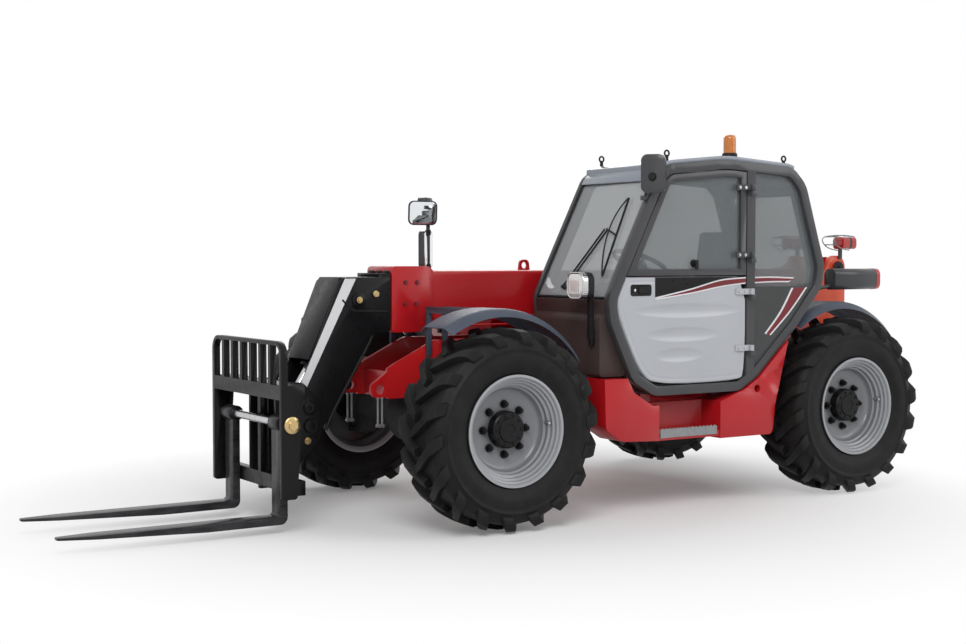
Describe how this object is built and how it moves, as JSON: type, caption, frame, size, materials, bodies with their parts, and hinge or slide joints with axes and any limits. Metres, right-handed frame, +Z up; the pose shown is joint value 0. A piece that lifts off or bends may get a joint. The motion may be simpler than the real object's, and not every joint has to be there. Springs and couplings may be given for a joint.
{
  "type": "telehandler",
  "caption": "Telescopic handler with a side cab, telescoping boom, pallet fork carriage, split cab door, opening hood and steered wheels on both axles.",
  "frame": {"origin": "on the ground, at the middle of the machine's box with the forks level", "axes": "+X forward to the fork tips, +Y to the cab side, +Z up"},
  "size_m": [6.29, 2.34, 2.43],
  "materials": {
    "red_paint": "gloss paint",
    "dark_paint": "satin paint",
    "grey_paint": "satin paint",
    "silver_paint": "satin paint",
    "slate_plastic": "moulded",
    "tyre_rubber": "matt",
    "glass": "tinted",
    "steel": "machined",
    "cast_iron": "as cast",
    "seat_fabric": "woven",
    "amber": "clear lens",
    "black_plastic": "moulded"
  },
  "bodies": {
    "machine": {"chassis_left_plate": "red_paint", "chassis_right_plate": "red_paint", "chassis_cross": "red_paint", "counterweight": "dark_paint", "front_axle": "dark_paint", "rear_axle": "dark_paint", "front_fenders": "slate_plastic", "rear_fenders": "slate_plastic", "engine_pod": "red_paint", "engine_block": "cast_iron", "cab_left_frame": "grey_paint", "cab_floor": "grey_paint", "cab_right_wall": "grey_paint", "cab_rear_wall": "grey_paint", "cab_roof": "silver_paint", "cab_front_panel": "grey_paint", "windshield": "glass", "cab_glass": "glass", "dashboard": "black_plastic", "seat": "seat_fabric", "side_skirt": "red_paint", "headlamps": "black_plastic", "beacon": "amber", "rear_lamps": "black_plastic", "mirrors": "black_plastic"},
    "boom": {"boom_outer": "red_paint"},
    "boom_extension": {"boom_inner": "dark_paint", "tilt_barrel": "dark_paint"},
    "lift_cylinder": {"lift_barrel": "dark_paint"},
    "lift_piston": {"lift_rod": "steel"},
    "tilt_piston": {"tilt_rod": "steel"},
    "carriage": {"fork_carriage": "dark_paint", "fork_left": "dark_paint", "fork_right": "dark_paint"},
    "lower_door": {"door_lower": "silver_paint"},
    "upper_door": {"door_upper": "grey_paint", "door_glass": "glass"},
    "hood": {"engine_hood": "red_paint"},
    "knuckle_front_left": {"knuckle_front_left": "dark_paint"},
    "wheel_front_left": {"rim_front_left": "silver_paint", "tyre_front_left": "tyre_rubber"},
    "knuckle_front_right": {"knuckle_front_right": "dark_paint"},
    "wheel_front_right": {"rim_front_right": "silver_paint", "tyre_front_right": "tyre_rubber"},
    "knuckle_rear_left": {"knuckle_rear_left": "dark_paint"},
    "wheel_rear_left": {"rim_rear_left": "silver_paint", "tyre_rear_left": "tyre_rubber"},
    "knuckle_rear_right": {"knuckle_rear_right": "dark_paint"},
    "wheel_rear_right": {"rim_rear_right": "silver_paint", "tyre_rear_right": "tyre_rubber"}
  },
  "joints": [
    {"name": "boom_lift", "type": "hinge", "parent": "machine", "child": "boom", "pos_m": [-2.885, 0, 1.545], "axis": [0, -1, 0], "range_deg": [0, 62]},
    {"name": "boom_extend", "type": "slide", "parent": "boom", "child": "boom_extension", "axis": [1, 0, 0], "range_m": [0, 2.4]},
    {"name": "fork_tilt", "type": "hinge", "parent": "boom_extension", "child": "carriage", "pos_m": [1.545, 0, 0.6], "axis": [0, 1, 0], "range_deg": [-12, 114]},
    {"name": "tilt_piston_slide", "type": "slide", "parent": "boom_extension", "child": "tilt_piston", "axis": [0.53, 0, -0.848], "range_m": [-0.0373, 0.3374]},
    {"name": "lift_cylinder_swing", "type": "hinge", "parent": "machine", "child": "lift_cylinder", "pos_m": [-2.585, 0, 0.66], "axis": [0, -1, 0], "range_deg": [-0.2, 42.41]},
    {"name": "lift_piston_slide", "type": "slide", "parent": "lift_cylinder", "child": "lift_piston", "axis": [0.8838, 0, 0.4679], "range_m": [-0.002, 0.8505]},
    {"name": "lower_door_swing", "type": "hinge", "parent": "machine", "child": "lower_door", "pos_m": [-1.24, 1.075, 1.2], "axis": [0, 0, 1], "range_deg": [0, 95]},
    {"name": "upper_door_swing", "type": "hinge", "parent": "machine", "child": "upper_door", "pos_m": [-1.24, 1.075, 1.8], "axis": [0, 0, 1], "range_deg": [0, 160]},
    {"name": "hood_swing", "type": "hinge", "parent": "machine", "child": "hood", "pos_m": [-0.735, -0.232, 1.255], "axis": [-1, 0, 0], "range_deg": [0, 60]},
    {"name": "front_steer_left", "type": "hinge", "parent": "machine", "child": "knuckle_front_left", "pos_m": [0.67, 0.85, 0.605], "axis": [0, 0, 1], "range_deg": [-35, 35]},
    {"name": "front_wheel_left", "type": "hinge", "parent": "knuckle_front_left", "child": "wheel_front_left", "pos_m": [0.67, 0.965, 0.605], "axis": [0, 1, 0], "continuous": true},
    {"name": "front_steer_right", "type": "hinge", "parent": "machine", "child": "knuckle_front_right", "pos_m": [0.67, -0.85, 0.605], "axis": [0, 0, 1], "range_deg": [-35.5, 35.5]},
    {"name": "front_wheel_right", "type": "hinge", "parent": "knuckle_front_right", "child": "wheel_front_right", "pos_m": [0.67, -0.965, 0.605], "axis": [0, 1, 0], "continuous": true},
    {"name": "rear_steer_left", "type": "hinge", "parent": "machine", "child": "knuckle_rear_left", "pos_m": [-2.14, 0.85, 0.605], "axis": [0, 0, 1], "range_deg": [-35, 35]},
    {"name": "rear_wheel_left", "type": "hinge", "parent": "knuckle_rear_left", "child": "wheel_rear_left", "pos_m": [-2.14, 0.965, 0.605], "axis": [0, 1, 0], "continuous": true},
    {"name": "rear_steer_right", "type": "hinge", "parent": "machine", "child": "knuckle_rear_right", "pos_m": [-2.14, -0.85, 0.605], "axis": [0, 0, 1], "range_deg": [-35.5, 35.5]},
    {"name": "rear_wheel_right", "type": "hinge", "parent": "knuckle_rear_right", "child": "wheel_rear_right", "pos_m": [-2.14, -0.965, 0.605], "axis": [0, 1, 0], "continuous": true}
  ],
  "couplings": [
    {"joint": "tilt_piston_slide", "follows": "fork_tilt", "m_per_rad": 0.16859},
    {"joint": "lift_cylinder_swing", "follows": "boom_lift", "ratio": 0.6759},
    {"joint": "lift_piston_slide", "follows": "boom_lift", "m_per_rad": 0.78138},
    {"joint": "front_steer_right", "follows": "front_steer_left", "ratio": 1},
    {"joint": "rear_steer_right", "follows": "rear_steer_left", "ratio": 1}
  ]
}
